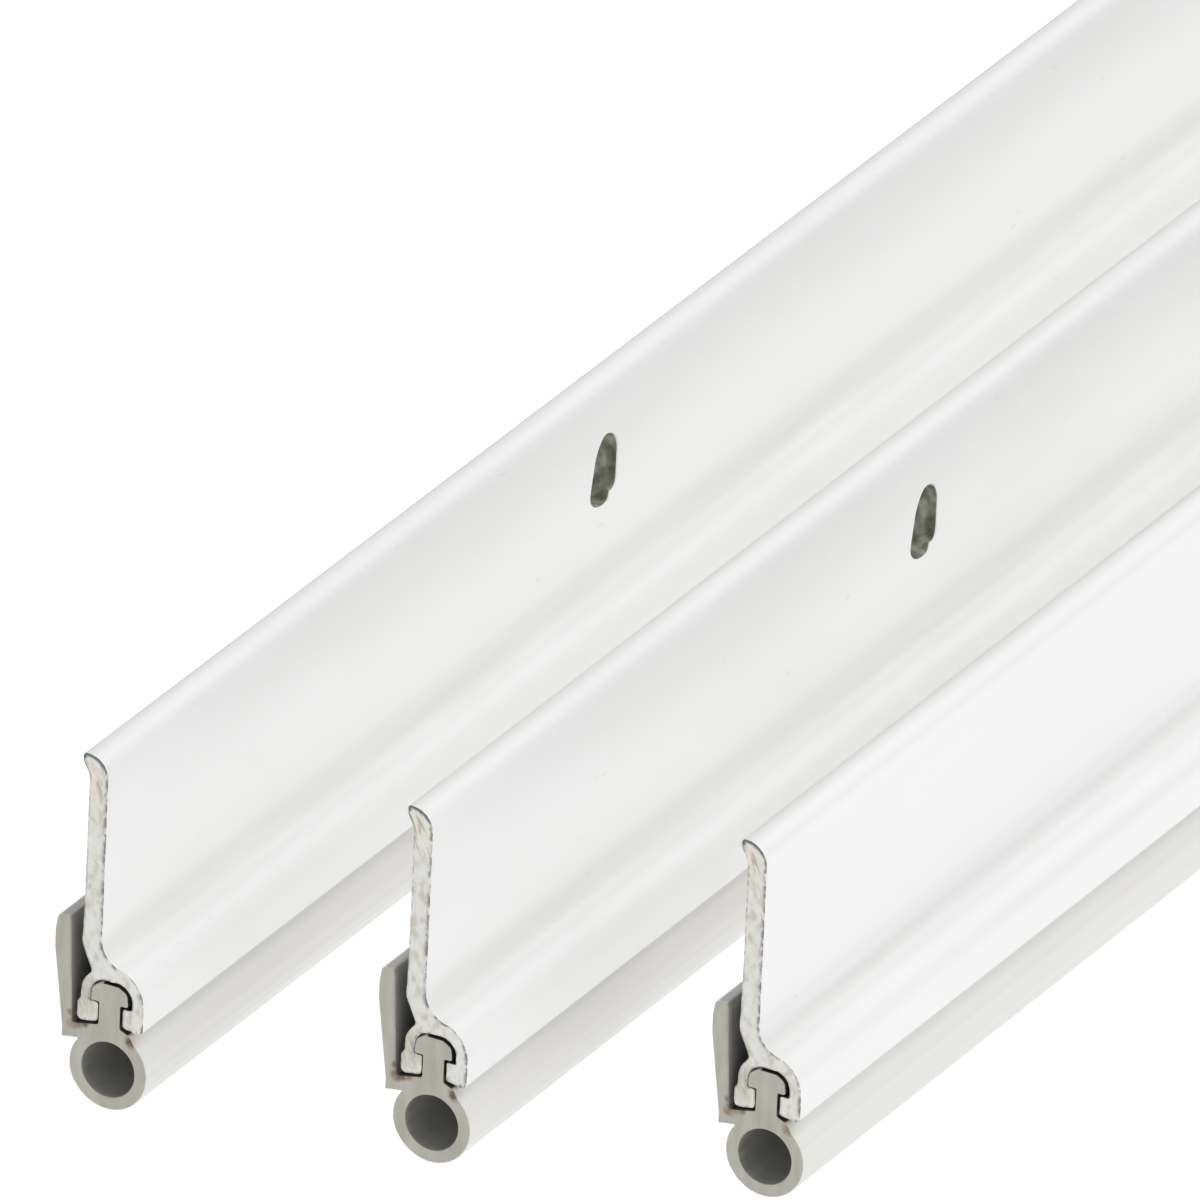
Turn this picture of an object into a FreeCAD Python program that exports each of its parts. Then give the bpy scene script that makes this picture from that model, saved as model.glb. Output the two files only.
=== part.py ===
"""Door weatherstrip set: three equal strips, each an aluminium carrier with a vinyl seal in its channel.

Lengths are in millimetres. +X runs along the strips, -Y is the face that shows on a door, +Z is up.
The origin is under the middle of the set, on the plane that the three seal tubes rest on.
A section is drawn in Y and Z about the centre of its own seal tube, and then run along X.
"""
import FreeCAD, Part
import math
import os

# ---- the set ----
STRIP_LENGTH = 914.4                # 36 in
STRIP_STARTS = (0.0, 6.0, 15.5)     # where each strip starts along X, measured from the first one
STRIP_ROWS = (0.0, -27.05, -53.0)   # where each strip's tube lies along Y, measured from the first one

# ---- seal tube ----
TUBE_R = 3.6
TUBE_BORE_R = 2.45

# ---- carrier: flange ----
TOP_Z = 28.15                       # with the tube's radius, the strip is 31.75 mm (1-1/4 in) tall
FLANGE_FRONT_Y = 1.02
FLANGE_BACK_Y = 2.78
FLAT_BACK_Z = 15.0                  # the flange's back is flat and upright above this
LEAN_Z = 10.9                       # from there down to this height it leans to the back
LEAN_Y = 0.1
LEAN_R = 1.5

# ---- carrier: top edge, curled to the back ----
CURL_R = 2.0
CURL_REACH_Y = 0.69                 # how far the corner that the nose rounds off stands behind the flange
NOSE_LOW_Y = 0.6                    # and how far its lower corner does
NOSE_LOW_Z = 27.3
NOSE_LOW_R = 0.3
NOSE_R = 0.35
NOTCH_Z = 26.2
NOTCH_R = 0.3

# ---- carrier: S-bend and channel ----
CHANNEL_Z = 6.3                     # centre of the channel's curves
CHANNEL_R = 3.1
LIP_OUTER_Z = 3.8                   # the lips' undersides rise from here to the mouth, over the tube
LIP_INNER_Z = 4.1
BACK_LEG_Y = 2.8                    # the back leg is set in a little above its lip
BACK_LEG_Z = 7.42                   # the corner that rounds the leg over towards the neck
BACK_LEG_R = 2.0
BACK_LIP_Z = 5.5
BACK_STEP_Z = 6.0
BACK_STEP_R = 0.3
SHOULDER_SLOPE = math.radians(15)   # the front of the S-bend, between its two curves
SHOULDER_R = 2.4
NECK_Y = 1.85                       # where the S-bend's back meets the channel
NECK_Z = 8.55
NECK_R = 0.45
CAVITY_Y = 2.0                      # half the channel's inner width
CAVITY_TOP_Z = 8.0
CAVITY_TOP_R = 1.5
CAVITY_CORNER_R = 0.15
MOUTH_Y = 1.15                      # half the mouth between the two lips
LIP_TOP_Z = 5.85
LIP_TOP_R = 0.2
LIP_INNER_R = 0.35
LIP_OUTER_R = 0.5

# ---- carrier: screw slots, upright so that the strip can be set nearer to the door ----
SLOT_WIDTH = 4.0
SLOT_HEIGHT = 6.35                  # 1/4 in
SLOT_Z = 19.8
SLOT_END_X = 85.725                 # 3-3/8 in from each end of the strip to the nearest slot
SLOT_COUNT = 4

# ---- seal: stem and dart ----
FOOT_Y = 2.2                        # the stem's foot ends inside the tube's wall
FOOT_Z = 2.2
STEM_Y = 0.95                       # half the stem's width
STEM_BOTTOM_Z = 4.0
STEM_FLARE_R = 0.8
BARB_Y = 1.7
BARB_Z = 6.0
BARB_R = 0.25
BARB_ROOT_R = 0.1
DART_SIDE_Y = 1.5
DART_SIDE_Z = 7.1
DART_SIDE_R = 0.6
DART_TOP_Y = 0.75
DART_TOP_Z = 7.65
DART_TOP_R = 0.4

# ---- seal: tab behind the channel ----
TAB_ROOT_Z = 4.0
TAB_ROOT_R = 0.3
TAB_TIP_Y = 3.4
TAB_TIP_Z = 3.2
TAB_BACK_Y = 4.45
TAB_BACK_Z = 2.1

# ---- fin, which flexes about the round edge of the tab ----
HINGE_Y = 3.97
HINGE_Z = 2.8
HINGE_R = 0.5
HINGE_GAP = 0.05
FIN_FRONT_Y = 3.62
FIN_TOP_FRONT_Y = 3.95
FIN_ROOT_Y = 4.45
FIN_BACK_Y = 5.4
FIN_BACK_LOW_Z = 10.0
FIN_BACK_HIGH_Z = 11.6
FIN_BACK_R = 5.0
FIN_TOP_BACK_Y = 5.2
FIN_TOP_BACK_Z = 12.85
FIN_TOP_BACK_R = 0.35
FIN_TOP_Z = 13.25
FIN_TOP_R = 0.25

MIDDLE_X = (STRIP_LENGTH + STRIP_STARTS[-1]) / 2
MIDDLE_Y = (FIN_BACK_Y + STRIP_ROWS[-1] - TUBE_R) / 2
SAME_POINT = 1e-6


def rounded_face(corners):
    """A face with (y, z, radius) corners. A radius turns its corner into an arc that touches both sides."""
    points = [FreeCAD.Vector(0, y, z) for y, z, _ in corners]
    arcs = []
    for i, (_, _, radius) in enumerate(corners):
        corner = points[i]
        back = (points[i - 1] - corner).normalize()
        ahead = (points[(i + 1) % len(points)] - corner).normalize()
        half_angle = back.getAngle(ahead) / 2
        reach = radius / math.tan(half_angle)
        depth = radius / math.sin(half_angle) - radius
        arcs.append((corner + back * reach, corner + (back + ahead).normalize() * depth, corner + ahead * reach))
    edges = []
    for i, (start, middle, end) in enumerate(arcs):
        if (end - start).Length > SAME_POINT:
            edges.append(Part.Arc(start, middle, end).toShape())
        next_start = arcs[(i + 1) % len(arcs)][0]
        edges.append(Part.LineSegment(end, next_start).toShape())
    return Part.Face(Part.Wire(edges))


def disc(y, z, radius):
    """A round face across the strip."""
    circle = Part.Circle(FreeCAD.Vector(0, y, z), FreeCAD.Vector(1, 0, 0), radius)
    return Part.Face(Part.Wire([circle.toShape()]))


def run(face):
    """A section run along the length of a strip."""
    return face.extrude(FreeCAD.Vector(STRIP_LENGTH, 0, 0))


def carrier_section():
    """The aluminium extrusion, from its top front edge down the front and up the back."""
    shoulder_low_z = CHANNEL_Z + CHANNEL_R * math.tan((math.pi / 2 - SHOULDER_SLOPE) / 2)
    shoulder_top_z = shoulder_low_z + (CHANNEL_R + FLANGE_FRONT_Y) * math.tan(SHOULDER_SLOPE)
    front = [
        (FLANGE_FRONT_Y, TOP_Z, CURL_R),
        (FLANGE_FRONT_Y, shoulder_top_z, SHOULDER_R),
        (-CHANNEL_R, shoulder_low_z, CHANNEL_R),
    ]
    front_lip = [
        (-CHANNEL_R, LIP_OUTER_Z, LIP_OUTER_R),
        (-MOUTH_Y, LIP_INNER_Z, LIP_INNER_R),
        (-MOUTH_Y, LIP_TOP_Z, LIP_TOP_R),
        (-CAVITY_Y, LIP_TOP_Z, CAVITY_CORNER_R),
        (-CAVITY_Y, CAVITY_TOP_Z, CAVITY_TOP_R),
    ]
    back_lip = [(-y, z, radius) for y, z, radius in reversed(front_lip)]
    back = [
        (CHANNEL_R, BACK_LIP_Z, BACK_STEP_R),
        (BACK_LEG_Y, BACK_STEP_Z, BACK_STEP_R),
        (BACK_LEG_Y, BACK_LEG_Z, BACK_LEG_R),
        (NECK_Y, NECK_Z, NECK_R),
        (FLANGE_BACK_Y + LEAN_Y, LEAN_Z, LEAN_R),
        (FLANGE_BACK_Y, FLAT_BACK_Z, 0),
        (FLANGE_BACK_Y, NOTCH_Z, NOTCH_R),
        (FLANGE_BACK_Y + NOSE_LOW_Y, NOSE_LOW_Z, NOSE_LOW_R),
        (FLANGE_BACK_Y + CURL_REACH_Y, TOP_Z, NOSE_R),
    ]
    return rounded_face(front + front_lip + back_lip + back)


def slot_cutter(x):
    """An upright slot with round ends, right through the flange."""
    radius = SLOT_WIDTH / 2
    low = SLOT_Z - SLOT_HEIGHT / 2 + radius
    high = SLOT_Z + SLOT_HEIGHT / 2 - radius
    left_low = FreeCAD.Vector(x - radius, 0, low)
    right_low = FreeCAD.Vector(x + radius, 0, low)
    right_high = FreeCAD.Vector(x + radius, 0, high)
    left_high = FreeCAD.Vector(x - radius, 0, high)
    outline = Part.Wire([
        Part.Arc(left_low, FreeCAD.Vector(x, 0, low - radius), right_low).toShape(),
        Part.LineSegment(right_low, right_high).toShape(),
        Part.Arc(right_high, FreeCAD.Vector(x, 0, high + radius), left_high).toShape(),
        Part.LineSegment(left_high, left_low).toShape(),
    ])
    return Part.Face(outline).extrude(FreeCAD.Vector(0, 2 * FLANGE_BACK_Y, 0))


def carrier():
    slot_pitch = (STRIP_LENGTH - 2 * SLOT_END_X) / (SLOT_COUNT - 1)
    slots = [slot_cutter(SLOT_END_X + i * slot_pitch) for i in range(SLOT_COUNT)]
    return run(carrier_section()).cut(slots)


def seal():
    """The vinyl that slides into the channel: dart and stem, the tube under them, and the tab at the back."""
    upper = rounded_face([
        (-FOOT_Y, FOOT_Z, 0),
        (-STEM_Y, STEM_BOTTOM_Z, STEM_FLARE_R),
        (-STEM_Y, BARB_Z, BARB_ROOT_R),
        (-BARB_Y, BARB_Z, BARB_R),
        (-DART_SIDE_Y, DART_SIDE_Z, DART_SIDE_R),
        (-DART_TOP_Y, DART_TOP_Z, DART_TOP_R),
        (DART_TOP_Y, DART_TOP_Z, DART_TOP_R),
        (DART_SIDE_Y, DART_SIDE_Z, DART_SIDE_R),
        (BARB_Y, BARB_Z, BARB_R),
        (STEM_Y, BARB_Z, BARB_ROOT_R),
        (STEM_Y, TAB_ROOT_Z, TAB_ROOT_R),
        (TAB_TIP_Y, TAB_TIP_Z, 0),
        (HINGE_Y, HINGE_Z, 0),
        (TAB_BACK_Y, HINGE_Z, 0),
        (TAB_BACK_Y, TAB_BACK_Z, 0),
    ])
    tube = run(disc(0, 0, TUBE_R))
    round_edge = run(disc(HINGE_Y, HINGE_Z, HINGE_R))
    bore = run(disc(0, 0, TUBE_BORE_R))
    return run(upper).fuse([tube, round_edge]).cut(bore).removeSplitter()


def fin():
    """The long lip that stands up behind the flange. Its foot is hollowed to turn on the tab's round edge."""
    blade = rounded_face([
        (FIN_FRONT_Y, HINGE_Z, 0),
        (FIN_TOP_FRONT_Y, FIN_TOP_Z, FIN_TOP_R),
        (FIN_TOP_BACK_Y, FIN_TOP_BACK_Z, FIN_TOP_BACK_R),
        (FIN_BACK_Y, FIN_BACK_HIGH_Z, FIN_BACK_R),
        (FIN_BACK_Y, FIN_BACK_LOW_Z, FIN_BACK_R),
        (FIN_ROOT_Y, HINGE_Z, 0),
    ])
    socket = disc(HINGE_Y, HINGE_Z, HINGE_R + HINGE_GAP)
    return run(blade).cut(run(socket))


os.makedirs("parts", exist_ok=True)
pieces = {"carrier": carrier(), "seal": seal(), "fin": fin()}
for number, (start, row) in enumerate(zip(STRIP_STARTS, STRIP_ROWS), 1):
    place = FreeCAD.Vector(start - MIDDLE_X, row - MIDDLE_Y, TUBE_R)
    for name, shape in pieces.items():
        shape.translated(place).exportStep(f"parts/{name}_{number}.step")
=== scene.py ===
import math

import bmesh
import bpy
import numpy as np
from mathutils import Matrix, Vector, noise
from mathutils.geometry import delaunay_2d_cdt


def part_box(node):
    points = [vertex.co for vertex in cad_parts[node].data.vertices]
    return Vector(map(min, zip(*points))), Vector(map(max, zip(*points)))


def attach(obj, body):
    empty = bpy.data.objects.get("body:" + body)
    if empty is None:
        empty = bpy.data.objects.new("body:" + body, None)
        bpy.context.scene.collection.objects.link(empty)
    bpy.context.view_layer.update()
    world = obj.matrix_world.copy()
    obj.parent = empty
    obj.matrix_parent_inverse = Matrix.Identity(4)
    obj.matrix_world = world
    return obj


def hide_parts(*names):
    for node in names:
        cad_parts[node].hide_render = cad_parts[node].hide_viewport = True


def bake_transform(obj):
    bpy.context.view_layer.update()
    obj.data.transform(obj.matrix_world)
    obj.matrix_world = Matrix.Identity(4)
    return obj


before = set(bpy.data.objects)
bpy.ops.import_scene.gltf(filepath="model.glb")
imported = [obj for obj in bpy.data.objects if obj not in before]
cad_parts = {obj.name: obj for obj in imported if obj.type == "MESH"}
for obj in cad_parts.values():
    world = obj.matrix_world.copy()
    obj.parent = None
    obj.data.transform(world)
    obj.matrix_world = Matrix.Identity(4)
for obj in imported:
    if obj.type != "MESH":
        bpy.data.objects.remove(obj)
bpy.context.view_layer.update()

MM = 0.001
STRIPS = (1, 2, 3)

# ---- aluminium section ----
FLANGE_BACK_Y = 2.78
CARRIER = [
    (1.02, 28.15, 2.0),      # top edge, curled to the back
    (1.02, 9.78, 2.4),       # foot of the flange
    (-3.1, 8.68, 3.1),       # channel's shoulder
    (-3.1, 3.8, 0.5),        # front lip
    (-1.15, 4.1, 0.35),
    (-1.15, 5.85, 0.2),
    (-2.0, 5.85, 0.15),
    (-2.0, 8.0, 1.5),        # inside of the channel
    (2.0, 8.0, 1.5),
    (2.0, 5.85, 0.15),
    (1.15, 5.85, 0.2),       # back lip
    (1.15, 4.1, 0.35),
    (3.1, 3.8, 0.5),
    (3.1, 5.5, 0.3),
    (2.8, 6.0, 0.3),
    (2.8, 7.42, 2.0),        # back leg, up to the neck
    (1.85, 8.55, 0.45),
    (2.88, 10.9, 1.5),
    (2.78, 15.0, 0),
    (2.78, 26.2, 0.3),       # notch under the curled edge
    (3.38, 27.3, 0.3),
    (3.47, 28.15, 0.35),
]

# ---- screw slots ----
SLOT_WIDTH = 4.0
SLOT_HEIGHT = 6.35
SLOT_Z = 19.8
SLOT_END_X = 85.725
SLOT_COUNT = 4
SLOT_LEAN = 0.1              # a slot's near side leans in by that share per millimetre of height
NICK_ANGLE = 308.0           # round the slot's lower end, in degrees from +x
NICK_SPREAD = 12.0
NICK_FRONT = 0.5             # how far the nick stands into the slot at the front
NICK_BACK = 0.1              # and from the depth NICK_Y on
NICK_Y = 1.4
PUNCH = (                    # the punch's profile: y, and how far the slot is grown there
    (0.82, 0.28), (1.02, 0.18), (1.06, 0.12), (1.12, 0.06), (1.22, 0.02), (1.37, 0.0),
    (1.9, 0.0), (2.1, 0.02), (2.3, 0.05), (2.5, 0.07), (2.98, 0.09),
)
PUNCH_ROLLED = 3             # its first steps roll the painted front edge over
TEAR_Y = 1.5                 # it tears the wall from this depth on
TEAR_GROWTH = 0.09           # by this much more for each millimetre
BURR_GROW = 0.07             # the burr stands that far outside the slot
BURR = (                     # its profile: distance from there, and height behind the flange
    (0.02, -0.15), (0.04, 0.0), (0.04, 0.62), (0.11, 0.72), (0.2, 0.5), (0.36, 0.02), (0.38, -0.15),
)
BURR_RAG = 0.35

# ---- vinyl sections ----
TUBE_R = 3.6
TUBE_BORE_R = 2.45
SEAM_Y = 3.4                 # the tab is drawn in two pieces that meet here
TAB_TOP_Z = 3.45
TAB_UNDER_Z = 2.12
TUBE_TAB_ANGLE = 36.0        # where the tab's underside meets the tube, in degrees
TUBE_FOOT_ANGLE = 131.0      # where the foot in front of the stem meets the tube

ARC_STEP = math.radians(7)


def arc(radius, start, end, step=5.0):
    """(y, z, 0) corners along an arc about the tube's centre, with angles in degrees from +y."""
    count = max(2, round(abs(end - start) / step))
    angles = [math.radians(start + (end - start) * k / count) for k in range(count + 1)]
    return [(radius * math.cos(a), radius * math.sin(a), 0) for a in angles]


SEAL = [
    (SEAM_Y, TAB_UNDER_Z, 0),
    *arc(TUBE_R, TUBE_TAB_ANGLE, TUBE_FOOT_ANGLE - 360),
    (-1.95, 3.5, 0.4),       # foot under the front lip
    (-0.95, 3.95, 0.2),
    (-0.95, 6.0, 0.1),
    (-1.7, 6.0, 0.25),       # dart
    (-1.55, 7.25, 0.7),
    (-0.75, 7.72, 0.4),
    (0.8, 7.75, 0.4),        # its back leans on the channel
    (1.75, 7.2, 0.6),
    (1.9, 5.9, 0.2),
    (1.1, 5.9, 0.05),
    (1.1, 3.9, 0.2),
    (SEAM_Y, TAB_TOP_Z, 0),
]
BORE = arc(TUBE_BORE_R, 0, 355)
FIN = [
    (SEAM_Y, TAB_TOP_Z, 0),
    (3.52, 3.42, 0.1),
    (3.95, 13.25, 0.25),
    (5.2, 12.85, 0.35),
    (5.4, 11.6, 3.0),
    (5.4, 10.0, 5.0),
    (4.45, 2.8, 0.5),
    (4.48, 1.87, 0.15),
    (SEAM_Y, TAB_UNDER_Z, 0),
]

# ---- finishes ----
PAINTED = 0                  # places of the painted and the punched faces' materials in ALUMINIUM_LOOK
PUNCHED_WALL = 2
CHIP_DEPTH = 0.2             # how far the saw's chips reach along the strip
SOFT_DEPTH = 0.15            # how far the vinyl's ends are rounded
SAW_CENTRE = (55.0, -12.0)   # y and z that the saw blade's marks curve about
STREAK_TURN = -24            # lean of its streaks, in degrees
RIM_FRONT = 0.7              # reach of the dark line round a saw cut, the burr's dark metal with painted shade, from the front edge
RIM_BACK = 0.4               # and from the back edge
FLANGE_MIDDLE_Y = 1.9        # between those two edges, in the flange
LEG_MIDDLE_Y = -2.4          # and in the channel's front leg
FLANGE_FOOT_Z = 9.0
CURL_FOOT_Z = 26.0           # the middle of the curl runs back from here up
CURL_SLOPE = 0.8
WHOLE_RIM_Z = (26.0, 27.2)   # the dark line grows unbroken between these heights
WARM_Z = (22.5, 25.5)        # and the saw cut's tone grows warm between these
BACK_LEG = (2.4, 6.2, 1.56, 2.5)     # y, z and reach both ways of the saw cut's dull patch
BEND_PAINTED_SHADE = (0.2, 9.9, 3.9, 2.6)     # and of the painted shade in the concave bend in front
BEND_SHADE_Y = 1.8            # that painted shade stays in front of this
CURL_TOP_SHADE_Y = (1.5, 3.1)      # the painted shade on the curl's top thickens between these
CURL_TOP_SHADE_Z = 27.0
CURL_TOP_SHADE = 1.6
PAINTED_SHADE_FULL = 6.0             # painted shade darkens the gaps this far in from a strip's ends
PAINTED_SHADE_END = 12.0             # and fades out by here
# the colour of that painted shade
PAINTED_SHADE_COLOUR = (0.05, 0.052, 0.04)
CHANNEL_SIDE_Y = 2.05        # the channel's painted shade is between its walls
CHANNEL_TOP_Z = 8.2
UNSHADED_WALL_Y = 0.9           # but its back side has none, from here on
LIP_END_Y = 1.6              # it covers the lips' ends too
LIP_TOP_Z = 5.9
LEG_BACK_Y = 1.75            # the painted shade on the metal in front of the fin starts here
LEG_BACK_Z = 4.2
LEG_PAINTED_SHADE = 0.7
LEG_FADE_Z = (13.6, 12.6)    # and thickens between these heights
STEM_BACK_Y = 0.75           # the vinyl's painted shade is in front of this
STEM_FOOT_Z = 3.6
STEM_BACK_Z = (3.4, 6.1)     # and behind it between these heights
FIN_FACE_Y = (3.3, 3.57)     # the fin's face on the flange's side is between these at its foot
FIN_FACE_Z = 3.4
FIN_FACE_SLOPE = 0.044
# painted shade on the fin's face toward the flange, and on its top
FIN_PAINTED_SHADE = 0.62
FIN_TOP_Z = 12.95
FIN_TOP_PAINTED_SHADE = 0.5
BORE_DEPTH = 9.0             # the bore has painted shade at its mouth and is pale from this depth on
STAIN_DEPTH = 1.6
STAINS = (                   # y, z and reach of brown dirt on the vinyl's ends
    (3.45, 3.4, 0.8),        # in the corner between tab and fin
    (2.9, 3.5, 0.6),         # along the tab's top
    (2.3, 3.6, 0.5),
    (3.65, 4.3, 0.5),        # up the fin's foot
    (-2.1, 3.1, 0.9),        # under the front lip
    (3.75, 12.8, 0.5),       # on the fin's top
)

# ---- studio ----
SKY_LIGHT = 2.1              # strength of the tent on the flanges' side
BACK_LIGHT = 1.1             # and on the fins' side
NEAR_SHARE = 0.2             # share of it that the near ends face
HORIZON_LIGHT = 0.03         # share of it at the horizon
HORIZON_LOW = 0.28           # it brightens between these heights, from 0 at the horizon to 1 overhead
HORIZON_HIGH = 0.55
ZENITH_LOW = 0.75            # and dims again from here up
ZENITH_LIGHT = 0.35
NEAR_FADE = (-0.9, -0.1)     # the tent's strength changes between these parts of a direction's x
BACK_FADE = (-0.3, 0.5)      # and between these of its y
FLOOR_SHARE = 0.12
FLOOR_GLOW = 0.95
CAMERA_AIM = (52.98, -16.05, 29.24)  # from the first strip's near end, its tube's row and the floor
CAMERA_AZIMUTH = -62.53
CAMERA_ELEVATION = 25.83
CAMERA_ROLL = 2.54
CAMERA_DISTANCE = 4541.4
CAMERA_LENS = 1650


# ---------------------------------------------------------------- outlines

def rounded_outline(corners):
    """Points of a closed outline through (y, z, radius) corners. A radius makes its corner an arc."""
    points = [Vector((y, z)) for y, z, _ in corners]
    outline = []
    for i, (_, _, radius) in enumerate(corners):
        corner = points[i]
        if radius == 0:
            outline.append(corner)
            continue
        back = (points[i - 1] - corner).normalized()
        ahead = (points[(i + 1) % len(points)] - corner).normalized()
        half_angle = back.angle(ahead) / 2
        start = corner + back * radius / math.tan(half_angle)
        centre = corner + (back + ahead).normalized() * radius / math.sin(half_angle)
        turn = math.pi - 2 * half_angle
        if back.x * ahead.y - back.y * ahead.x > 0:
            turn = -turn
        count = max(2, math.ceil(abs(turn) / ARC_STEP))
        for k in range(count + 1):
            outline.append(centre + Matrix.Rotation(turn * k / count, 2) @ (start - centre))
    return np.array([tuple(p) for p in outline])


def divided(outline, longest):
    """The outline with its sides cut into lengths no longer than that."""
    points = []
    for a, b in zip(outline, np.roll(outline, -1, axis=0)):
        count = max(1, math.ceil(np.linalg.norm(b - a) / longest))
        points += [a + (b - a) * k / count for k in range(count)]
    return np.array(points)


def anticlockwise(outline):
    y, z = outline.T
    area = np.sum(y * np.roll(z, -1) - z * np.roll(y, -1))
    return outline if area > 0 else outline[::-1]


def inward(outline):
    """Unit vectors into the section, at each point of an anticlockwise outline."""
    along = np.roll(outline, -1, axis=0) - np.roll(outline, 1, axis=0)
    normal = np.stack([-along[:, 1], along[:, 0]], axis=1)
    return normal / np.linalg.norm(normal, axis=1, keepdims=True)


def inside(points, outline):
    """Which points lie inside a closed outline."""
    y, z = points[:, 0, None], points[:, 1, None]
    y1, z1 = outline.T
    y2, z2 = np.roll(outline, -1, axis=0).T
    crosses = (z1 > z) != (z2 > z)
    rise = np.where(z2 == z1, 1, z2 - z1)
    return (crosses & (y < (y2 - y1) * (z - z1) / rise + y1)).sum(axis=1) % 2 == 1


def distance_to(points, outline):
    """The distance of each point from a closed outline."""
    a, b = outline, np.roll(outline, -1, axis=0)
    best = np.full(len(points), 1e9)
    for start, end in zip(a, b):
        side = end - start
        share = np.clip((points - start) @ side / max(side @ side, 1e-12), 0, 1)
        best = np.minimum(best, np.linalg.norm(points - start - share[:, None] * side, axis=1))
    return best


# ---------------------------------------------------------------- meshes

def rough(point, size, seed):
    """Smooth noise from -1 to 1 that changes over about that size."""
    return noise.noise(Vector(point) / size + Vector((seed * 7.3, seed * 3.1, seed * 5.7)))


class Strip:
    """Where a strip lies: its near end, its length, and the centre of its tube."""

    def __init__(self, number):
        low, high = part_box(f"seal_{number}")
        self.number = number
        self.near = low.x
        self.length = (high.x - low.x) / MM
        self.row = low.y + TUBE_R * MM
        self.tube = low.z + TUBE_R * MM

    def at(self, x, y, z):
        return (self.near + x * MM, self.row + y * MM, self.tube + z * MM)


def cap_faces(rings, spacing):
    """More points inside a section, and triangles over it. The rings are its outline, then its holes."""
    low, high = rings[0].min(axis=0), rings[0].max(axis=0)
    rows = np.arange(low[1], high[1], spacing * math.sqrt(3) / 2)
    across = np.arange(low[0], high[0], spacing)
    grid = np.array([(y + spacing / 2 * (j % 2), z) for j, z in enumerate(rows) for y in across])
    grid = grid[in_section(grid, rings)]
    grid = grid[gap_to(grid, rings) > spacing * 0.6]
    points = np.concatenate([*rings, grid])
    sides, first = [], 0
    for ring in rings:
        sides += [(first + k, first + (k + 1) % len(ring)) for k in range(len(ring))]
        first += len(ring)
    made = delaunay_2d_cdt([Vector(p) for p in points], sides, [], 0, 1e-7)
    if len(made[0]) != len(points):
        raise RuntimeError("a section's outline crosses itself")
    faces = np.array(made[2])
    return grid, faces[in_section(points[faces].mean(axis=1), rings)]


def in_section(points, rings):
    keep = inside(points, rings[0])
    for hole in rings[1:]:
        keep &= ~inside(points, hole)
    return keep


def gap_to(points, rings):
    return np.min([distance_to(points, ring) for ring in rings], axis=0)


def extruded(name, strip, rings, stations, shape_end, cap_spacing, dent):
    """A section run along a strip, with closed ends.

    stations are the x of its cross-sections, and shape_end(ring, x) gives a ring's shape at one of them.
    dent(y, z) says how far a point of an end's face lies inside the end. Each ring has its own material,
    and the two ends share the one after those.
    """
    points, faces, kinds, firsts = [], [], [], []
    for x in stations:
        inner = 1 if x < strip.length / 2 else -1
        at_end = x in (stations[0], stations[-1])
        firsts.append([])
        for ring in rings:
            firsts[-1].append(len(points))
            for y, z in shape_end(ring, x):
                points.append(strip.at(x + inner * dent(y, z) * at_end, y, z))
    for near, far in zip(firsts, firsts[1:]):
        for kind, ring in enumerate(rings):
            for i in range(len(ring)):
                j = (i + 1) % len(ring)
                faces.append((near[kind] + i, near[kind] + j, far[kind] + j, far[kind] + i))
                kinds.append(kind)
    for x, first, inner in ((stations[0], firsts[0][0], 1), (stations[-1], firsts[-1][0], -1)):
        shaped = [shape_end(ring, x) for ring in rings]
        grid, triangles = cap_faces(shaped, cap_spacing)
        edge_count = sum(len(ring) for ring in rings)
        index = [*range(first, first + edge_count), *range(len(points), len(points) + len(grid))]
        points += [strip.at(x + inner * dent(y, z), y, z) for y, z in grid]
        faces += [tuple(index[corner] for corner in triangle) for triangle in triangles]
        kinds += [len(rings)] * len(triangles)
    return solid(name, points, faces, kinds)


def solid(name, points, faces, kinds=None):
    """A piece from points, faces and each face's material number, with its faces turned outward."""
    mesh = bpy.data.meshes.new(name)
    mesh.from_pydata(points, [], faces)
    if kinds:
        mesh.polygons.foreach_set("material_index", kinds)
    work = bmesh.new()
    work.from_mesh(mesh)
    bmesh.ops.recalc_face_normals(work, faces=work.faces)
    work.to_mesh(mesh)
    work.free()
    piece = bpy.data.objects.new(name, mesh)
    bpy.context.scene.collection.objects.link(piece)
    return piece


def smooth(piece, sharp_degrees=38):
    piece.data.polygons.foreach_set("use_smooth", [True] * len(piece.data.polygons))
    piece.data.set_sharp_from_angle(angle=math.radians(sharp_degrees))


def end_stations(length, steps):
    """Places of the cross-sections: close together at both ends, and one in the middle."""
    return [*steps, length / 2, *(length - x for x in reversed(steps))]


def point_values(piece, name, value):
    """Stores a value at each point of a piece."""
    layer = piece.data.attributes.new(name, "FLOAT", "POINT")
    layer.data.foreach_set("value", value.astype(np.float32))


# ---------------------------------------------------------------- aluminium

def saw_dent(seed):
    """Depth of a saw cut's face: arcs left by a large blade, and a fine tear."""
    def dent(y, z):
        blade = math.hypot(y - SAW_CENTRE[0], z - SAW_CENTRE[1])
        arcs = rough((blade, 0, 0), 0.35, seed) + 0.6 * rough((blade, 0, 0), 0.12, seed + 1)
        return 0.022 * (arcs + 1.2) + 0.02 * (rough((y, z, 0), 0.3, seed + 2) + 1)
    return dent


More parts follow.
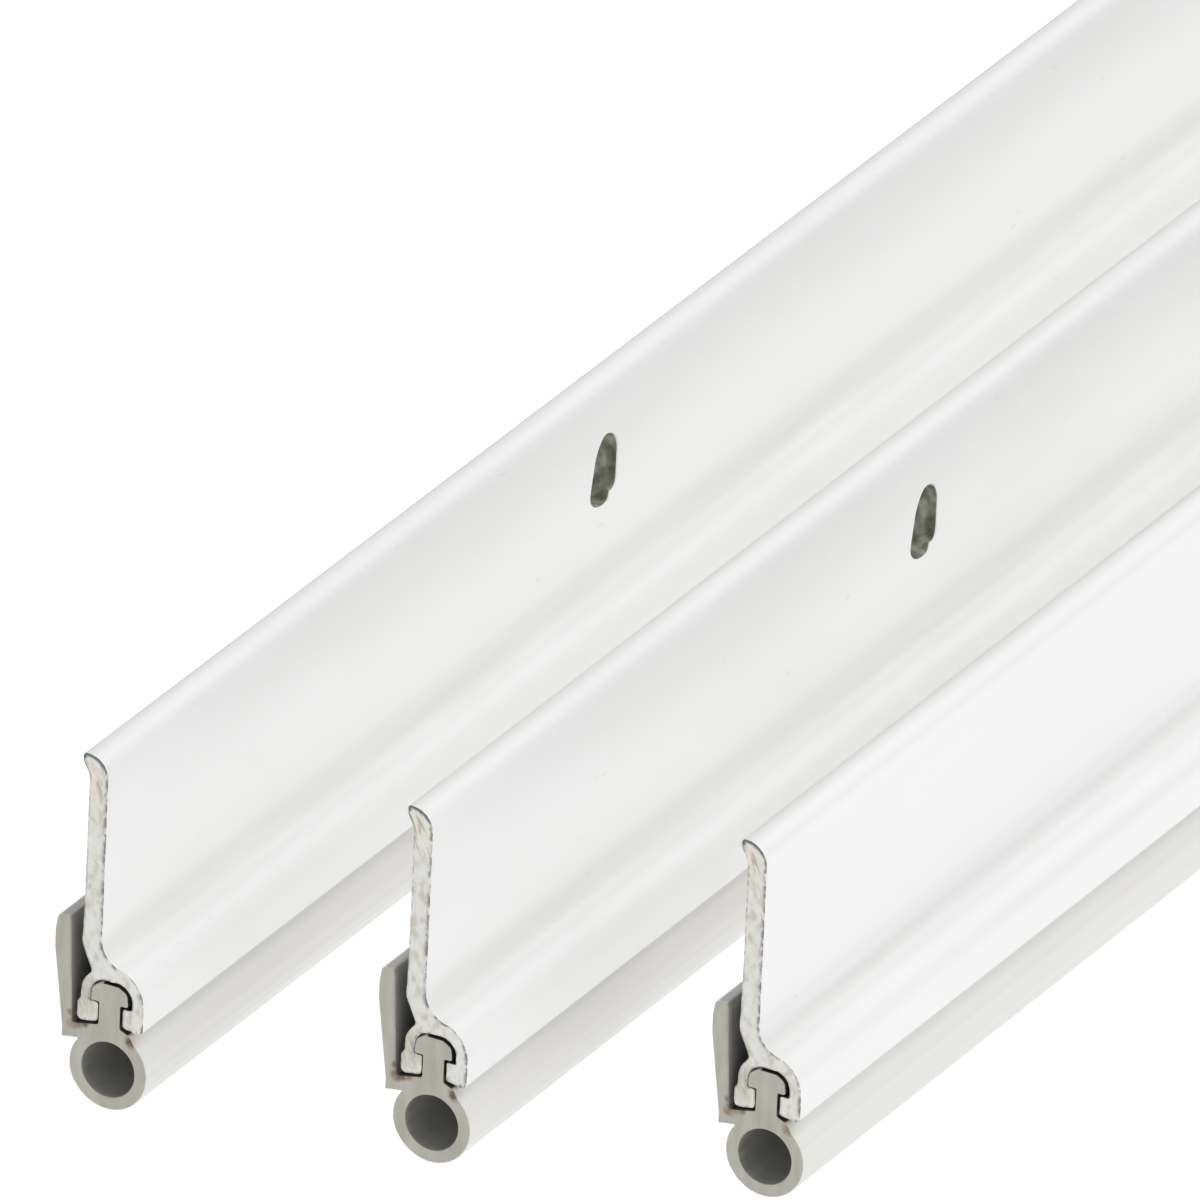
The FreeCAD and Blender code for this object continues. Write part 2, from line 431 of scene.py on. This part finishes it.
def aluminium(strip):
    outline = divided(anticlockwise(rounded_outline(CARRIER)), 0.16)
    into = inward(outline)
    seed = strip.number

    def shape_end(ring, x):
        depth = min(x, strip.length - x)
        if depth > CHIP_DEPTH:
            return ring
        side = 11 if x > strip.length / 2 else 0
        chips = np.array([rough((y, z, depth * 2), 0.35, seed + side) for y, z in ring])
        amount = (0.02 + 0.03 * np.clip(chips, -0.6, 1)) * (1 - depth / CHIP_DEPTH)
        return ring + into * amount[:, None]

    name = f"aluminium_strip_{seed}"
    stations = end_stations(strip.length, (0, 0.05, CHIP_DEPTH, 0.6, PAINTED_SHADE_FULL, PAINTED_SHADE_END))
    piece = extruded(name, strip, [outline], stations, shape_end, 0.13, saw_dent(seed))
    for material in ALUMINIUM_LOOK:
        piece.data.materials.append(material)
    punch(piece, strip)
    smooth(piece, 24)
    aluminium_values(piece, strip, outline)
    return piece


def between(value, start, end):
    """0 up to the start and 1 from the end on."""
    return np.clip((value - start) / (end - start), 0, 1)


def patch(y, z, middle_y, middle_z, wide, tall):
    """1 in the middle of an oval patch, falling to 0 at its reach."""
    return np.clip(1 - np.hypot((y - middle_y) / wide, (z - middle_z) / tall), 0, 1)


def aluminium_values(piece, strip, outline):
    """What the aluminium's materials go by, at each point."""
    place = section_points(piece, strip)
    y, z = place[:, 1], place[:, 2]
    rim = edge_share(place, strip, outline)
    back_leg = np.minimum(1.2 * patch(y, z, *BACK_LEG), 0.8)
    # painted shade in the concave bend and on the curl's top
    in_bend = patch(y, z, *BEND_PAINTED_SHADE) * (y < BEND_SHADE_Y)
    on_top = between(y, *CURL_TOP_SHADE_Y) * (z > CURL_TOP_SHADE_Z) * CURL_TOP_SHADE
    point_values(piece, "rim", rim)
    point_values(piece, "top_rim", rim * between(z, *WHOLE_RIM_Z))
    point_values(piece, "warm", np.maximum(between(z, *WARM_Z), back_leg))
    point_values(piece, "dull", back_leg)
    point_values(piece, "painted_shade", aluminium_painted_shade(y, z) * near_ends(place, strip))
    point_values(piece, "bend_and_curl_shade", np.maximum(in_bend, on_top))


def edge_share(place, strip, outline):
    """How near each point of an end's face is to its edge: up to 1 in front and 0.8 at the back."""
    rim = np.zeros(len(place))
    at_end = np.minimum(place[:, 0], strip.length - place[:, 0]) < SOFT_DEPTH
    y, z = place[at_end, 1], place[at_end, 2]
    gap = distance_to(place[at_end, 1:], outline)
    middle_y = np.where(z > FLANGE_FOOT_Z, FLANGE_MIDDLE_Y, LEG_MIDDLE_Y)
    in_front = y < middle_y + np.clip(z - CURL_FOOT_Z, 0, 2) * CURL_SLOPE
    front = np.clip(1 - gap / RIM_FRONT, 0, 1)
    back = 0.8 * np.clip(1 - gap / RIM_BACK, 0, 1)
    rim[at_end] = np.where(in_front, front, back)
    return rim


def near_ends(place, strip):
    """1 at a strip's ends, and 0 from where the painted shade stops."""
    depth = np.minimum(place[:, 0], strip.length - place[:, 0])
    return between(depth, PAINTED_SHADE_END, PAINTED_SHADE_FULL)


def aluminium_painted_shade(y, z):
    """Where painted shade darkens the aluminium: in the channel, but for its back wall, and by the fin.
    """
    in_channel = (y > -CHANNEL_SIDE_Y) & (y < UNSHADED_WALL_Y) & (z < CHANNEL_TOP_Z)
    by_lip = (np.abs(y) < LIP_END_Y) & (z < LIP_TOP_Z)
    back_wall = (y < CHANNEL_SIDE_Y) & (z < CHANNEL_TOP_Z)
    behind_fin = (y > LEG_BACK_Y) & (z > LEG_BACK_Z) & ~back_wall
    return np.maximum(in_channel | by_lip, behind_fin * LEG_PAINTED_SHADE * between(z, *LEG_FADE_Z))


def stadium(grow, nick=0.0):
    """A slot's outline about its own centre, grown by that much, as (x, z) points.

    A nick is a tongue of metal left standing that far into the slot at its lower far side.
    """
    count = 28
    straight = (SLOT_HEIGHT - SLOT_WIDTH) / 2
    outline = []
    for k in range(2 * count + 2):
        half, step = divmod(k, count + 1)
        angle = math.pi * (half + step / count)
        off_nick = math.degrees(angle) - NICK_ANGLE
        radius = SLOT_WIDTH / 2 + grow - nick * math.exp(-(off_nick / NICK_SPREAD) ** 2)
        z = radius * math.sin(angle) + (straight if half == 0 else -straight)
        lean = SLOT_LEAN * z if math.cos(angle) < 0 else 0
        outline.append((radius * math.cos(angle) * (1 - lean), z))
    return outline


def slot_centres(strip):
    pitch = (strip.length - 2 * SLOT_END_X) / (SLOT_COUNT - 1)
    return [SLOT_END_X + k * pitch for k in range(SLOT_COUNT)]


def lofted(loops):
    """Points and faces of a closed solid through loops of equal length."""
    points = [p for loop in loops for p in loop]
    n = len(loops[0])
    faces = []
    for s in range(len(loops) - 1):
        for i in range(n):
            j = (i + 1) % n
            faces.append((s * n + i, s * n + j, (s + 1) * n + j, (s + 1) * n + i))
    faces.append(tuple(reversed(range(n))))
    faces.append(tuple(range((len(loops) - 1) * n, len(loops) * n)))
    return points, faces


def punch(piece, strip):
    """Cuts the screw slots. The punch rolls the front edge over and tears the back of the wall."""
    points, faces, kinds = [], [], []
    for k, centre in enumerate(slot_centres(strip)):
        loops = []
        for y, grow in PUNCH:
            torn = max(0, y - TEAR_Y) * TEAR_GROWTH
            loops.append([])
            for x, z in stadium(grow, NICK_FRONT if y < NICK_Y else NICK_BACK):
                wave = 1 + torn * rough((x, y * 2, z), 0.5, strip.number * 10 + k) / math.hypot(x, z)
                loops[-1].append(strip.at(centre + x * wave, y, SLOT_Z + z * wave))
        cutter_points, cutter_faces = lofted(loops)
        first = len(points)
        points += cutter_points
        faces += [tuple(first + corner for corner in face) for face in cutter_faces]
        for step in range(len(PUNCH) - 1):
            kinds += [PAINTED if step < PUNCH_ROLLED else PUNCHED_WALL] * len(loops[0])
        kinds += [PUNCHED_WALL] * 2
    cutter = solid("punch", points, faces, kinds)
    for material in ALUMINIUM_LOOK:
        cutter.data.materials.append(material)
    cut = piece.modifiers.new("slots", "BOOLEAN")
    cut.operation = "DIFFERENCE"
    cut.solver = "EXACT"
    cut.object = cutter
    bpy.context.view_layer.update()
    shown = piece.evaluated_get(bpy.context.evaluated_depsgraph_get())
    result = bpy.data.meshes.new_from_object(shown)
    piece.modifiers.clear()
    piece.data = result
    bpy.data.objects.remove(cutter)


def section_points(piece, strip):
    """x, y and z of a piece's points in the strip's own millimetres, as a table of three columns."""
    place = np.zeros(len(piece.data.vertices) * 3)
    piece.data.vertices.foreach_get("co", place)
    return (place.reshape(-1, 3) - (strip.near, strip.row, strip.tube)) / MM


def slot_burr(strip):
    """The torn lip that a punch leaves round the back of each slot."""
    around = stadium(BURR_GROW)
    points, faces = [], []
    for k, centre in enumerate(slot_centres(strip)):
        first = len(points)
        for x, z in around:
            size = math.hypot(x, z)
            rag = 1 + BURR_RAG * rough((x, z, 0), 0.55, strip.number * 10 + k)
            for grow, rise in BURR:
                scale = 1 + grow / size
                lift = rise * rag if rise > 0 else rise
                points.append(strip.at(centre + x * scale, FLANGE_BACK_Y + lift, SLOT_Z + z * scale))
        faces += ring_faces(first, len(around), len(BURR))
    piece = solid(f"slot_burr_{strip.number}", points, faces)
    # the burr takes the slot walls' material, darkened with painted shade
    piece.data.materials.append(SHADED_PUNCHED)
    smooth(piece, 60)
    return piece


def ring_faces(first, around, across):
    """Faces of a closed band of points that goes round and is closed across too."""
    faces = []
    for i in range(around):
        a, b = first + i * across, first + (i + 1) % around * across
        for j in range(across):
            k = (j + 1) % across
            faces.append((a + j, a + k, b + k, b + j))
    return faces


# ---------------------------------------------------------------- vinyl

def vinyl(strip, name, corners, holes, looks, painted_shade):
    """A vinyl section run along a strip. Its ends are knife cuts, a little soft at the edges."""
    rings = [divided(anticlockwise(rounded_outline(shape)), 0.2) for shape in (corners, *holes)]
    turned = [inward(ring) * (1 if k == 0 else -1) for k, ring in enumerate(rings)]
    seed = strip.number + len(holes) * 20

    def shape_end(ring, x):
        k = next(i for i, other in enumerate(rings) if other is ring)
        soft = 0.05 * max(0, 1 - min(x, strip.length - x) / SOFT_DEPTH) ** 2
        seam = np.abs(ring[:, 0] - SEAM_Y) < 0.3
        return ring + turned[k] * np.where(seam, 0, soft)[:, None]

    def dent(y, z):
        drag = rough((y * 0.4, z * 2, 0), 0.3, seed)
        return 0.02 * (rough((y, z, 0), 1.4, seed) + 1) + 0.008 * (drag + 1)

    stations = end_stations(strip.length, (0, 0.04, SOFT_DEPTH, 0.5, 1.2, 2.5, PAINTED_SHADE_FULL, 9, PAINTED_SHADE_END))
    piece = extruded(name, strip, rings, stations, shape_end, 0.2, dent)
    for material in looks:
        piece.data.materials.append(material)
    smooth(piece)
    vinyl_values(piece, strip, painted_shade)
    return piece


def vinyl_values(piece, strip, painted_shade):
    """What the vinyl's materials go by, at each point."""
    place = section_points(piece, strip)
    y, z = place[:, 1], place[:, 2]
    depth = np.minimum(place[:, 0], strip.length - place[:, 0])
    stain = np.max([patch(y, z, *middle, reach, reach) for *middle, reach in STAINS], axis=0)
    point_values(piece, "stain", stain * between(depth, STAIN_DEPTH, 0))
    point_values(piece, "depth", depth / BORE_DEPTH)
    point_values(piece, "painted_shade", painted_shade(y, z) * near_ends(place, strip))
    # marks the fin's face toward the flange, where the cut end gets painted shade
    point_values(piece, "inner_edge", faces_flange(y, z).astype(float))


def seal_painted_shade(y, z):
    """Painted shade where the stem and dart stand in the channel, and on the tab's top behind it."""
    by_stem = (y < STEM_BACK_Y) & (z > STEM_FOOT_Z)
    behind_stem = (y > STEM_BACK_Y) & (z > STEM_BACK_Z[0]) & (z < STEM_BACK_Z[1])
    return np.where(by_stem | behind_stem, 1.0, 0.0)


def faces_flange(y, z):
    """The side of the fin that faces the flange."""
    face_y = FIN_FACE_Y[1] + FIN_FACE_SLOPE * (z - FIN_FACE_Z)
    return (y > FIN_FACE_Y[0]) & (y < face_y) & (z > FIN_FACE_Z - 0.1)


def fin_painted_shade(y, z):
    """Painted shade on the side that faces the flange, from the fin's top down."""
    return np.where(faces_flange(y, z), FIN_PAINTED_SHADE, np.where(z > FIN_TOP_Z, FIN_TOP_PAINTED_SHADE, 0.0))


# ---------------------------------------------------------------- materials

def new_material(name, roughness, metallic=0.0):
    """A material and its shader."""
    material = bpy.data.materials.new(name)
    material.use_nodes = True
    shader = material.node_tree.nodes["Principled BSDF"]
    shader.inputs["Roughness"].default_value = roughness
    shader.inputs["Metallic"].default_value = metallic
    return material, shader


def node(owner, kind, **settings):
    """A new node in a material or world."""
    made = owner.node_tree.nodes.new(kind)
    for name, value in settings.items():
        setattr(made, name, value)
    return made


def join(owner, a, b):
    owner.node_tree.links.new(a, b)


def noise_of(material, size, detail=3.0, turn=0.0):
    """Noise with features of that size in millimetres along X, Y and Z, turned about X in degrees."""
    place = node(material, "ShaderNodeTexCoord")
    mapping = node(material, "ShaderNodeMapping", vector_type="TEXTURE")
    mapping.inputs["Rotation"].default_value = (math.radians(turn), 0, 0)
    mapping.inputs["Scale"].default_value = [side * MM for side in size]
    join(material, place.outputs["Object"], mapping.inputs["Vector"])
    texture = node(material, "ShaderNodeTexNoise")
    texture.inputs["Scale"].default_value = 1.0
    texture.inputs["Detail"].default_value = detail
    join(material, mapping.outputs["Vector"], texture.inputs["Vector"])
    return texture.outputs["Fac"]


def stored(material, name):
    """A value kept at the mesh's points."""
    return node(material, "ShaderNodeAttribute", attribute_name=name).outputs["Fac"]


def ramp(owner, value, stops):
    """Colours by value, from (place, colour) stops. A colour may be one number, for a grey."""
    made = node(owner, "ShaderNodeValToRGB")
    while len(made.color_ramp.elements) < len(stops):
        made.color_ramp.elements.new(0.5)
    for element, (place, colour) in zip(made.color_ramp.elements, stops):
        element.position = place
        element.color = (*colour, 1) if isinstance(colour, tuple) else (colour, colour, colour, 1)
    join(owner, value, made.inputs["Fac"])
    return made.outputs["Color"]


def mix(material, share, a, b):
    """Colour a where the share is 0 and colour b where it is 1. b may be a fixed colour."""
    made = node(material, "ShaderNodeMix", data_type="RGBA")
    join(material, share, made.inputs["Factor"])
    join(material, a, made.inputs["A"])
    if isinstance(b, tuple):
        made.inputs["B"].default_value = (*b, 1)
    else:
        join(material, b, made.inputs["B"])
    return made.outputs["Result"]


def product(owner, a, b):
    made = node(owner, "ShaderNodeMath", operation="MULTIPLY")
    join(owner, a, made.inputs[0])
    join(owner, b, made.inputs[1])
    return made.outputs[0]


def bump(material, shader, height, strength, distance):
    """Relief of that many millimetres."""
    made = node(material, "ShaderNodeBump")
    made.inputs["Strength"].default_value = strength
    made.inputs["Distance"].default_value = distance * MM
    join(material, height, made.inputs["Height"])
    join(material, made.outputs["Normal"], shader.inputs["Normal"])


def white_paint():
    """Baked white paint: faint clouds, the extrusion's drawn lines, orange peel, a few dark specks, and
    painted shade in the concave bend, on the curl's top and in the gaps near the ends.
    """
    material, shader = new_material("white_paint", 0.36)
    cloud = noise_of(material, (30, 8, 8), 2)
    clouds = ramp(material, cloud, [(0.35, (0.915, 0.912, 0.91)), (0.65, (0.93, 0.93, 0.93))])
    # painted shade in the concave bend and on the curl's top, in soft patches
    patches = ramp(material, noise_of(material, (25, 1.5, 1.5), 2), [(0.3, 0.6), (0.7, 1.0)])
    in_painted_shade = product(material, stored(material, "bend_and_curl_shade"), patches)
    shaded = mix(material, in_painted_shade, clouds, (0.78, 0.795, 0.775))
    specks = ramp(material, noise_of(material, (2.2, 0.8, 0.8), 2), [(0.72, 0.0), (0.80, 0.25)])
    dusty = mix(material, specks, shaded, (0.55, 0.56, 0.54))
    # painted shade darkens the paint in the gaps near the ends
    colour = mix(material, stored(material, "painted_shade"), dusty, PAINTED_SHADE_COLOUR)
    join(material, colour, shader.inputs["Base Color"])
    gloss = ramp(material, noise_of(material, (16, 2.5, 2.5), 3), [(0.3, 0.30), (0.7, 0.42)])
    join(material, gloss, shader.inputs["Roughness"])
    drawn = noise_of(material, (120, 0.38, 0.38), 2)
    peel = noise_of(material, (0.7, 0.7, 0.7), 1)
    relief = mix(material, ramp(material, drawn, [(0.0, 0.3), (1.0, 0.7)]), drawn, peel)
    bump(material, shader, relief, 0.08, 0.2)
    shader.inputs["Coat Weight"].default_value = 0.15
    shader.inputs["Coat Roughness"].default_value = 0.3
    return material


def sawn_aluminium():
    """A saw cut: pale torn metal, warmer and streaked near the curl, with a dark ragged line at its
    edge: the burr's dark metal with painted shade.
    """
    material, shader = new_material("sawn_aluminium", 0.5, 0.25)
    streak = noise_of(material, (50, 0.3, 1.5), 2, STREAK_TURN)
    blotch = noise_of(material, (50, 0.8, 1.1), 3)
    fine = noise_of(material, (50, 0.16, 0.9), 2, STREAK_TURN)
    broad = noise_of(material, (50, 0.5, 1.2), 2, STREAK_TURN)
    plain = ramp(material, blotch, [
        (0.34, (0.72, 0.68, 0.60)),
        (0.5, (0.89, 0.88, 0.84)),
        (0.7, (0.93, 0.93, 0.905)),
    ])
    warm = ramp(material, streak, [
        (0.36, (0.58, 0.54, 0.43)),
        (0.47, (0.89, 0.84, 0.75)),
        (0.62, (0.95, 0.93, 0.88)),
    ])
    metal = mix(material, stored(material, "warm"), plain, warm)
    metal = mix(material, ramp(material, fine, [(0.26, 0.5), (0.35, 0.0)]), metal, (0.45, 0.44, 0.40))
    dull_streaks = ramp(material, broad, [(0.35, 0.95), (0.6, 0.45)])
    dulled = product(material, stored(material, "dull"), dull_streaks)
    metal = mix(material, dulled, metal, (0.52, 0.49, 0.42))
    # the dark line round the cut: the burr's dark metal with painted shade along it
    ragged = ramp(material, noise_of(material, (50, 0.45, 0.7), 3), [(0.40, 0.0), (0.58, 1.0)])
    rim = ramp(material, stored(material, "rim"), [(0.42, 0.0), (0.85, 0.95)])
    broken = product(material, rim, ragged)
    metal = mix(material, broken, metal, (0.19, 0.185, 0.185))
    whole = ramp(material, stored(material, "top_rim"), [(0.45, 0.0), (0.75, 1.0)])
    join(material, mix(material, whole, metal, (0.17, 0.18, 0.20)), shader.inputs["Base Color"])
    bump(material, shader, streak, 0.3, 0.1)
    return material


def shaded_punched_aluminium():
    """A slot's wall: metal darkened with painted shade, mottled where it tore."""
    material, shader = new_material("shaded_punched_aluminium", 0.6, 0.3)
    mottle = noise_of(material, (0.9, 1.3, 1.8), 4)
    metal = ramp(material, mottle, [
        (0.32, (0.08, 0.082, 0.065)),
        (0.5, (0.24, 0.245, 0.20)),
        (0.68, (0.46, 0.46, 0.40)),
    ])
    join(material, metal, shader.inputs["Base Color"])
    bump(material, shader, mottle, 0.6, 0.25)
    return material


def vinyl_skin():
    """Drawn vinyl: satin, with long faint lines, slow changes of tone, brown dirt at its ends, and
    painted shade in the gaps near them.
    """
    material, shader = new_material("vinyl_skin", 0.45)
    slow = noise_of(material, (35, 11, 11), 3)
    tone = ramp(material, slow, [(0.3, (0.80, 0.793, 0.765)), (0.7, (0.84, 0.833, 0.81))])
    drawn = noise_of(material, (150, 0.5, 0.5), 3)
    lined = mix(material, ramp(material, drawn, [(0.3, 0.14), (0.6, 0.0)]), tone, (0.55, 0.54, 0.51))
    dirt = ramp(material, stored(material, "stain"), [(0.0, 0.0), (0.8, 0.5)])
    stained = mix(material, dirt, lined, (0.50, 0.42, 0.33))
    # painted shade darkens the vinyl in the gaps near the ends
    colour = mix(material, stored(material, "painted_shade"), stained, PAINTED_SHADE_COLOUR)
    join(material, colour, shader.inputs["Base Color"])
    satin = ramp(material, noise_of(material, (12, 1.4, 1.4), 3), [(0.3, 0.4), (0.7, 0.55)])
    join(material, satin, shader.inputs["Roughness"])
    bump(material, shader, drawn, 0.12, 0.2)
    return material


def vinyl_bore():
    """The inside of the tube: painted shade, dark grey near its mouth, and paler further in."""
    material, shader = new_material("vinyl_bore", 0.7)
    drawn = noise_of(material, (40, 0.7, 0.7), 3)
    shaded_mouth = ramp(material, drawn, [(0.3, (0.25, 0.245, 0.23)), (0.7, (0.31, 0.305, 0.285))])
    depth = ramp(material, stored(material, "depth"), [(0.1, 0.0), (0.7, 1.0)])
    join(material, mix(material, depth, shaded_mouth, (0.74, 0.735, 0.71)), shader.inputs["Base Color"])
    return material


def vinyl_cut():
    """Cut vinyl: grey and matt, drawn by the knife, with brown dirt, and painted shade along the fin's
    face.
    """
    material, shader = new_material("vinyl_cut", 0.6)
    drag = noise_of(material, (50, 0.9, 4.0), 3)
    tone = ramp(material, drag, [(0.3, (0.52, 0.505, 0.44)), (0.7, (0.62, 0.605, 0.54))])
    dirt = noise_of(material, (0.8, 0.8, 0.8), 3)
    brown = ramp(material, dirt, [(0.3, (0.13, 0.07, 0.035)), (0.7, (0.42, 0.32, 0.21))])
    spread = product(material, stored(material, "stain"), noise_of(material, (0.9, 0.9, 0.9), 2))
    stained = mix(material, ramp(material, spread, [(0.06, 0.0), (0.34, 1.0)]), tone, brown)
    shade = ramp(material, stored(material, "inner_edge"), [(0.0, 0.0), (1.0, 0.4)])
    join(material, mix(material, shade, stained, (0.16, 0.15, 0.12)), shader.inputs["Base Color"])
    bump(material, shader, drag, 0.25, 0.1)
    return material


PAINT = white_paint()
SAWN = sawn_aluminium()
SHADED_PUNCHED = shaded_punched_aluminium()
VINYL_SKIN = vinyl_skin()
VINYL_BORE = vinyl_bore()
VINYL_CUT = vinyl_cut()
ALUMINIUM_LOOK = [PAINT, SAWN, SHADED_PUNCHED]


# ---------------------------------------------------------------- the set

def build(number):
    strip = Strip(number)
    metal = aluminium(strip)
    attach(metal, f"carrier_{number}")
    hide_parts(f"carrier_{number}")
    burr = slot_burr(strip)
    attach(burr, f"carrier_{number}")
    seal_looks = [VINYL_SKIN, VINYL_BORE, VINYL_CUT]
    seal = vinyl(strip, f"vinyl_seal_{number}", SEAL, [BORE], seal_looks, seal_painted_shade)
    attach(seal, f"seal_{number}")
    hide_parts(f"seal_{number}")
    fin = vinyl(strip, f"vinyl_fin_{number}", FIN, [], [VINYL_SKIN, VINYL_CUT], fin_painted_shade)
    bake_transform(fin)
    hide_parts(f"fin_{number}")


for number in STRIPS:
    build(number)


# ---------------------------------------------------------------- studio

def floor():
    """A pale table that the tubes rest on, lit a little from below as a product table is."""
    mesh = bpy.data.meshes.new("table")
    half = 6.0
    corners = [(-half, -half, 0), (half, -half, 0), (half, half, 0), (-half, half, 0)]
    mesh.from_pydata(corners, [], [(0, 1, 2, 3)])
    table = bpy.data.objects.new("table", mesh)
    bpy.context.scene.collection.objects.link(table)
    material, shader = new_material("table", 0.8)
    shader.inputs["Base Color"].default_value = (FLOOR_SHARE, FLOOR_SHARE, FLOOR_SHARE, 1)
    shader.inputs["Emission Color"].default_value = (1, 1, 1, 1)
    shader.inputs["Emission Strength"].default_value = FLOOR_GLOW
    mesh.materials.append(material)


def sky_share(world, value, fade, at_low, at_high):
    """A level that turns smoothly from one to the other as the value goes through the fade."""
    low, high = fade
    share = node(world, "ShaderNodeMapRange", interpolation_type="SMOOTHSTEP")
    for name, number in (("From Min", low), ("From Max", high), ("To Min", at_low), ("To Max", at_high)):
        share.inputs[name].default_value = number
    join(world, value, share.inputs["Value"])
    return share.outputs["Result"]


def tent():
    """A studio tent: bright at mid height, and dimmer low, overhead and where the near ends face."""
    world = bpy.data.worlds.new("tent")
    bpy.context.scene.world = world
    world.use_nodes = True
    direction = node(world, "ShaderNodeTexCoord")
    parts = node(world, "ShaderNodeSeparateXYZ")
    join(world, direction.outputs["Generated"], parts.inputs["Vector"])
    levels = [(HORIZON_LOW, HORIZON_LIGHT), (HORIZON_HIGH, 1.0), (ZENITH_LOW, 1.0), (1.0, ZENITH_LIGHT)]
    height = ramp(world, parts.outputs["Z"], levels)
    near = sky_share(world, parts.outputs["X"], NEAR_FADE, NEAR_SHARE, 1.0)
    back = sky_share(world, parts.outputs["Y"], BACK_FADE, SKY_LIGHT, BACK_LIGHT)
    strength = product(world, height, product(world, near, back))
    join(world, strength, world.node_tree.nodes["Background"].inputs["Strength"])
    world.node_tree.nodes["Background"].inputs["Color"].default_value = (1, 1, 1, 1)


def studio():
    floor()
    tent()
    bpy.context.scene.view_settings.view_transform = "Standard"


def camera():
    """A camera far off with a long lens, at the angle of a catalogue picture of the near ends."""
    first = Strip(1)
    aim = Vector((first.near, first.row, 0)) + Vector(CAMERA_AIM) * MM
    azimuth = math.radians(CAMERA_AZIMUTH)
    elevation = math.radians(CAMERA_ELEVATION)
    roll = math.radians(CAMERA_ROLL)
    level = math.cos(elevation)
    back = Vector((math.sin(azimuth) * level, -math.cos(azimuth) * level, math.sin(elevation)))
    data = bpy.data.cameras.new("camera")
    data.sensor_width = 36
    data.lens = CAMERA_LENS
    data.clip_start = 0.5
    data.clip_end = 100
    eye = bpy.data.objects.new("camera", data)
    eye.rotation_mode = "QUATERNION"
    eye.location = aim + back * CAMERA_DISTANCE * MM
    turn = Matrix.Rotation(roll, 3, "Z").to_quaternion()
    eye.rotation_quaternion = (-back).to_track_quat("-Z", "Y") @ turn
    bpy.context.scene.collection.objects.link(eye)
    bpy.context.scene.camera = eye


studio()
camera()
